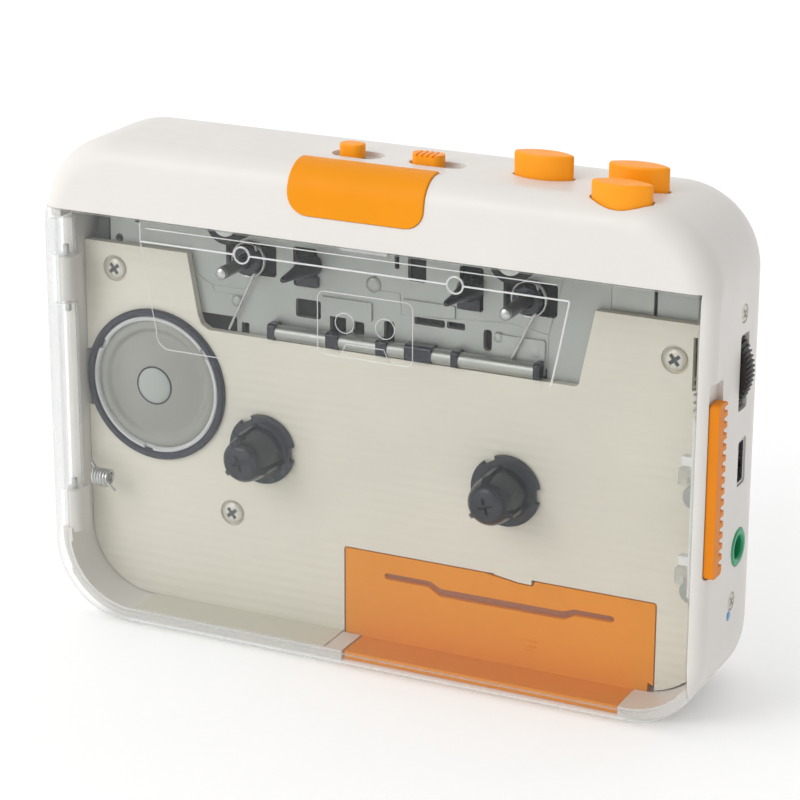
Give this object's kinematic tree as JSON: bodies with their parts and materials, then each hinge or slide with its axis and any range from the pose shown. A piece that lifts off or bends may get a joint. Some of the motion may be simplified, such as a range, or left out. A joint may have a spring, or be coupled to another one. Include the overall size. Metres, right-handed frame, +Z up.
{
  "type": "cassette player",
  "caption": "Portable cassette player with a clear hinged front door, white case, orange keys and slider, and a small loudspeaker.",
  "frame": {"origin": "middle of the bottom edge of the case, on the surface it stands on", "axes": "+X to the right seen from the door side, -Y out of the clear door, +Z up"},
  "size_m": [0.1143, 0.0303, 0.0846],
  "materials": {
    "shell": "satin moulded plastic",
    "orange": "smooth moulded plastic",
    "badge": "smooth moulded plastic",
    "panel": "fine horizontal texture",
    "steel_plate": "plain zinc-plated sheet",
    "steel": "ground and polished",
    "black_plastic": "glossy",
    "bronze": "sintered",
    "flywheel_brass": "turned",
    "belt_rubber": "matte",
    "white_plastic": "satin",
    "speaker_grey": "film cone",
    "speaker_frame": "dark frame",
    "magnet": "dull",
    "board_green": "solder mask",
    "wheel_black": "knurled",
    "jack_green": "moulded",
    "clear": "clear polystyrene",
    "led": "blue lens",
    "cell_wrap": "plain wrapper"
  },
  "bodies": {
    "case": {"main_shell": "shell", "rear_cover": "shell", "chassis_panel": "panel", "badge_plate": "badge", "mechanism_plate": "steel_plate", "guide_bar": "steel_plate", "guide_pins": "black_plastic", "capstan_bushes": "bronze", "capstan_springs": "steel", "drive_belt": "belt_rubber", "motor": "steel_plate", "speaker_ring": "speaker_frame", "speaker_cone": "speaker_grey", "speaker_dome": "speaker_grey", "speaker_magnet": "magnet", "circuit_board": "board_green", "volume_pot": "black_plastic", "headphone_jack": "jack_green", "usb_socket": "steel", "status_led": "led", "slide_switches": "steel_plate", "latch_spring": "steel", "latch_keepers": "steel_plate", "hinge_pins": "steel", "door_spring": "steel", "battery_cell": "cell_wrap", "battery_contacts": "steel", "panel_screws": "steel", "side_screws": "steel", "rear_screws": "steel"},
    "front_door": {"door": "clear"},
    "latch": {"open_slider": "orange", "latch_bar": "white_plastic"},
    "play_key": {"play_button": "orange"},
    "stop_key": {"stop_button": "orange"},
    "forward_key": {"fast_forward_button": "orange"},
    "power_slide": {"power_switch": "orange"},
    "mode_slide": {"mode_switch": "orange"},
    "carriage": {"head_carriage": "steel_plate", "playback_head": "steel", "roller_arms": "white_plastic"},
    "roller_left": {"pinch_roller_left": "belt_rubber"},
    "roller_right": {"pinch_roller_right": "belt_rubber"},
    "wheel": {"volume_wheel": "wheel_black"},
    "reel_left": {"hub_left": "black_plastic", "reel_table_left": "white_plastic"},
    "reel_right": {"hub_right": "black_plastic", "reel_table_right": "white_plastic"},
    "pulley": {"motor_pulley": "flywheel_brass"},
    "battery_door": {"battery_cover": "orange"},
    "drive_left": {"flywheel_left": "flywheel_brass", "capstan_left": "steel"},
    "drive_right": {"flywheel_right": "flywheel_brass", "capstan_right": "steel"}
  },
  "joints": [
    {"name": "door_hinge", "type": "hinge", "parent": "case", "child": "front_door", "pos_m": [-0.055, -0.0096, 0.035], "axis": [0, 0, -1], "range_deg": [0, 90]},
    {"name": "open_slide", "type": "slide", "parent": "case", "child": "latch", "axis": [0, 0, 1], "range_m": [0, 0.0027], "stiffness_N_per_m": 150, "springref_m": -0.001, "deforming": ["latch_spring"]},
    {"name": "play_press", "type": "slide", "parent": "case", "child": "play_key", "axis": [0, 0, -1], "range_m": [0, 0.003], "stiffness_N_per_m": 200, "springref_m": -0.0005},
    {"name": "stop_press", "type": "slide", "parent": "case", "child": "stop_key", "axis": [0, 0, -1], "range_m": [0, 0.003], "stiffness_N_per_m": 200, "springref_m": -0.0005},
    {"name": "forward_press", "type": "slide", "parent": "case", "child": "forward_key", "axis": [0, 0, -1], "range_m": [0, 0.003], "stiffness_N_per_m": 200, "springref_m": -0.0005},
    {"name": "power_switch_slide", "type": "slide", "parent": "case", "child": "power_slide", "axis": [1, 0, 0], "range_m": [0, 0.002]},
    {"name": "mode_switch_slide", "type": "slide", "parent": "case", "child": "mode_slide", "axis": [1, 0, 0], "range_m": [0, 0.003]},
    {"name": "head_slide", "type": "slide", "parent": "case", "child": "carriage", "axis": [0, 0, -1], "range_m": [0, 0.003], "stiffness_N_per_m": 300, "springref_m": -0.001},
    {"name": "roller_left_spin", "type": "hinge", "parent": "carriage", "child": "roller_left", "pos_m": [-0.025, -0.009, 0.0694], "axis": [0, 1, 0], "continuous": true},
    {"name": "roller_right_spin", "type": "hinge", "parent": "carriage", "child": "roller_right", "pos_m": [0.023, -0.009, 0.0694], "axis": [0, 1, 0], "continuous": true},
    {"name": "volume_turn", "type": "hinge", "parent": "case", "child": "wheel", "pos_m": [0.0498, -0.0013, 0.0543], "axis": [0, 1, 0], "range_deg": [-140, 140]},
    {"name": "reel_left_spin", "type": "hinge", "parent": "case", "child": "reel_left", "pos_m": [-0.02225, -0.0046, 0.0308], "axis": [0, 1, 0], "continuous": true},
    {"name": "reel_right_spin", "type": "hinge", "parent": "case", "child": "reel_right", "pos_m": [0.02025, -0.0046, 0.0308], "axis": [0, 1, 0], "continuous": true},
    {"name": "drive_left_spin", "type": "hinge", "parent": "case", "child": "drive_left", "pos_m": [-0.025, 0.01, 0.0616], "axis": [0, 1, 0], "continuous": true},
    {"name": "drive_right_spin", "type": "hinge", "parent": "case", "child": "drive_right", "pos_m": [0.023, 0.01, 0.0616], "axis": [0, 1, 0], "continuous": true},
    {"name": "pulley_spin", "type": "hinge", "parent": "case", "child": "pulley", "pos_m": [-0.001, 0.01, 0.041], "axis": [0, 1, 0], "continuous": true},
    {"name": "battery_cover_slide", "type": "slide", "parent": "case", "child": "battery_door", "axis": [0, 0, -1], "range_m": [0, 0.018]}
  ],
  "couplings": [
    {"joint": "play_press", "follows": "head_slide", "ratio": 1},
    {"joint": "drive_right_spin", "follows": "drive_left_spin", "ratio": 1},
    {"joint": "pulley_spin", "follows": "drive_left_spin", "ratio": 4.3333}
  ]
}
